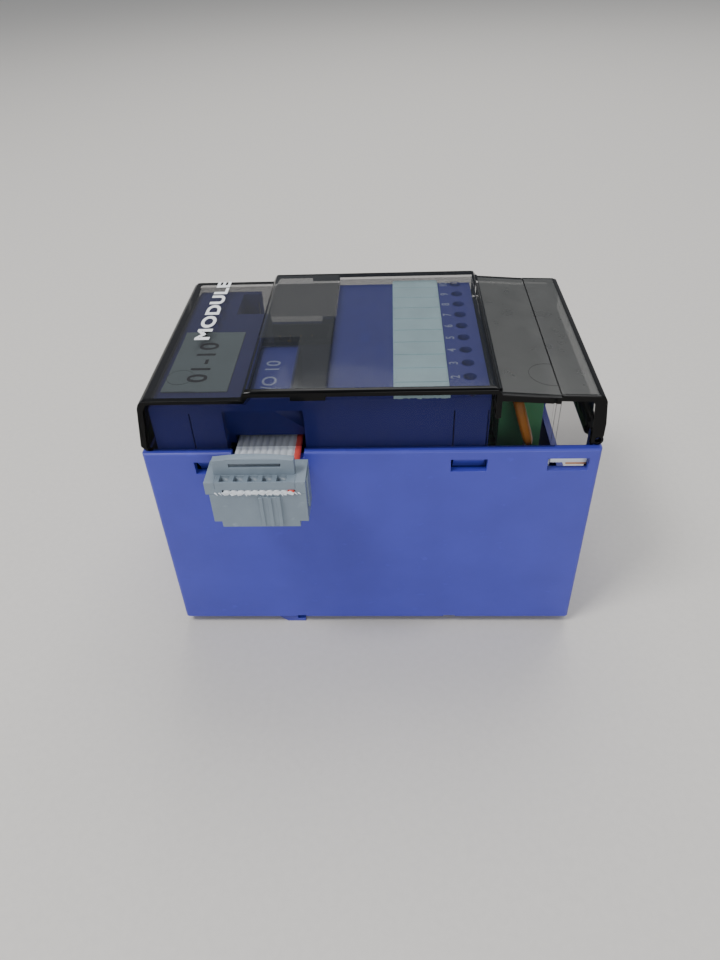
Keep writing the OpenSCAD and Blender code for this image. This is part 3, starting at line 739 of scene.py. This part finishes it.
def film_capacitor():
    """Dipped film capacitor: a pillow of epoxy leaning on its two wires."""
    low = low_high("film_capacitor")[0]
    lean = math.radians(17.2)
    centre = Vector((28.85, -20.35, 52))
    half_thick, half_wide, half_tall = 0.98, 3.78, 5.86
    squareness = 3.2
    work = bmesh.new()
    bmesh.ops.create_cube(work, size=1)
    bmesh.ops.subdivide_edges(work, edges=work.edges[:], cuts=9, use_grid_fill=True)
    turn = Matrix.Rotation(-lean, 3, "Y")
    for vertex in work.verts:
        u, v, w = (2 * c for c in vertex.co)
        reach = max(abs(v), abs(w))
        pull = 1 / (abs(v) ** squareness + abs(w) ** squareness) ** (1 / squareness) if reach > 1e-6 else 1
        v, w = v * pull * reach, w * pull * reach
        crown = 1 - 0.5 * max(0, (reach - 0.7) / 0.3) ** 2
        local = Vector((u * half_thick * crown, v * half_wide, w * half_tall))
        vertex.co = mm(*(centre + turn @ local))
    for face in work.faces:
        face.smooth = True
    body_low = 47.4
    for y in (-22.35, -18.35):
        tube(work, [(30.35, y, low.z), (30.35, y, body_low - 1), (30.3, y, body_low)], 0.3, 12, 1)
        put_rod(work, (30.35, y, low.z + 2.45), (30.35, y, low.z + 3.1), 0.75, 1, 16, 0.32)
    made = piece("film_capacitor_body", to_mesh("film_capacitor_body", work), "housing", "film_orange",
                 MATERIALS["film_orange"], TINNED)
    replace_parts(made, "film_capacitor")


def boards():
    for node in ("main_pcb", "io_pcb", "led_pcb"):
        soften(node + "_board", node, 0.06, segments=1)
    lower = low_high("main_pcb")[1].z
    upper = low_high("io_pcb")[1].z
    small_parts("lower_small_parts", lower, [(14, -22, 32, 8), (-19, -22, -5, -10), (22, 10, 32, 22)], 60, 3)
    small_parts("upper_small_parts", upper, [(-37, 4, -31, 15), (-8, -20, -3, 8), (6, -22, 9, 20),
                                             (-37, -20, -29, -11)], 44, 5)
    soften("stack_connector", "board_link", 0.12)
    soften("lamp_connector", "led_header", 0.12)
    soften("cable_socket", "ribbon_socket", 0.12)
    soften("bus_shroud", "bus_header", 0.1)
    soften("spacers", "hex_spacers", 0.12)
    soften("stack_screws", "board_screws", 0.1)
    soften("bus_pin_set", "bus_pins", 0.12)
    chips()
    power_parts()
    film_capacitor()


# ---- clamps, hinge and latch ----

def clamps():
    soften("clamp_housing", "terminal_block", 0.07)
    soften("clamp_bars", "terminal_bars", 0.06, segments=1)
    for body, nodes in frame["record"]["behaviour"]["bodies"].items():
        if body.startswith("clamp_"):
            soften("soft_" + nodes[0], nodes[0], 0.1, body)


def latch_spring():
    """Close-wound helix between the latch and its stop post."""
    low, high = low_high("latch_spring")
    wire, radius, turns = 0.19, 0.78, 9
    z = (low.z + high.z) / 2
    work = bmesh.new()
    count = 24 * turns
    path = []
    for k in range(count + 1):
        share = k / count
        rise = share + 0.25 * math.sin(2 * math.pi * share) / (2 * math.pi)
        t = 2 * math.pi * k / 24
        path.append((low.x + wire + (high.x - low.x - 2 * wire) * rise,
                     radius * math.cos(t), z + radius * math.sin(t)))
    tube(work, path, wire, 8)
    made = piece("latch_helix", to_mesh("latch_helix", work), "housing", "spring_steel")
    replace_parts(made, "latch_spring")
    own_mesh(made)


def fittings():
    soften("latch", "din_latch", 0.16, "rail_latch")
    # painted sheen: light non-metal coats stand in for the reflection of the plated strip and the copper pad
    soften("earth_spring", "earth_strip", 0.06, material=TIN_PAINTED_SHEEN)
    soften("earth_pad", "earth_contact", 0.06, material=COPPER_PAINTED_SHEEN)
    soften("front_pin", "hinge_pin_front", 0.08)
    soften("back_pin", "hinge_pin_back", 0.08)
    latch_spring()


def lamps():
    node = frame["nodes"]["leds"]
    node.data.materials.clear()
    node.data.materials.append(MATERIALS["lamp_red"])
    for polygon in node.data.polygons:
        polygon.use_smooth = True


# ---- studio ----

# a key light from the front left casts the plug's shadow; the others are soft fills
LIGHTS = {"key": ((-0.37, -0.27, 0.78), 0.25, 5.0), "overhead": ((0.1, 0.5, 0.8), 0.7, 5.0),
          "front_fill": ((0.25, -1.0, 0.35), 0.6, 4.0)}
CAMERA_AT = (4.716, -135.997, 130.326)
CAMERA_TURN = (51.059, 2.094, 1.770)
FOCAL = 27.414
FLOOR_SIZE = 3
SKY_STRENGTH = 0.45


def studio():
    bpy.ops.mesh.primitive_plane_add(size=FLOOR_SIZE)
    floor = bpy.context.object
    floor.name = "floor"
    material, tree, shader, where = start("floor")
    speck = grain(tree, where, 1.5, 4.0)
    tone = colour(214, 210, 204)
    tree.links.new(ramp(tree, speck, (0.3, darker(tone, 0.96)), (0.7, tone)), shader.inputs["Base Color"])
    shader.inputs["Roughness"].default_value = 0.6
    floor.data.materials.append(material)
    world = bpy.data.worlds.new("studio")
    world.use_nodes = True
    bpy.context.scene.world = world
    world.node_tree.nodes["Background"].inputs["Color"].default_value = colour(232, 236, 242)
    world.node_tree.nodes["Background"].inputs["Strength"].default_value = SKY_STRENGTH
    for name, (place, size, power) in LIGHTS.items():
        light = bpy.data.lights.new(name, "AREA")
        light.size = size
        light.energy = power
        made = bpy.data.objects.new(name, light)
        made.location = place
        made.rotation_euler = (Vector((0, 0, 0.03)) - Vector(place)).to_track_quat("-Z", "Y").to_euler()
        bpy.context.scene.collection.objects.link(made)


def camera():
    data = bpy.data.cameras.new("camera")
    data.sensor_width = 36
    data.sensor_fit = "AUTO"
    data.lens = FOCAL
    data.clip_start = 0.01
    made = bpy.data.objects.new("camera", data)
    made.location = mm(*CAMERA_AT)
    made.rotation_euler = Euler([math.radians(angle) for angle in CAMERA_TURN], "XYZ")
    bpy.context.scene.collection.objects.link(made)
    bpy.context.scene.camera = made


camera()
housing()
hood()
labels()
window_rims()
lamps()
ribbon()
plug()
boards()
clamps()
fittings()
studio()
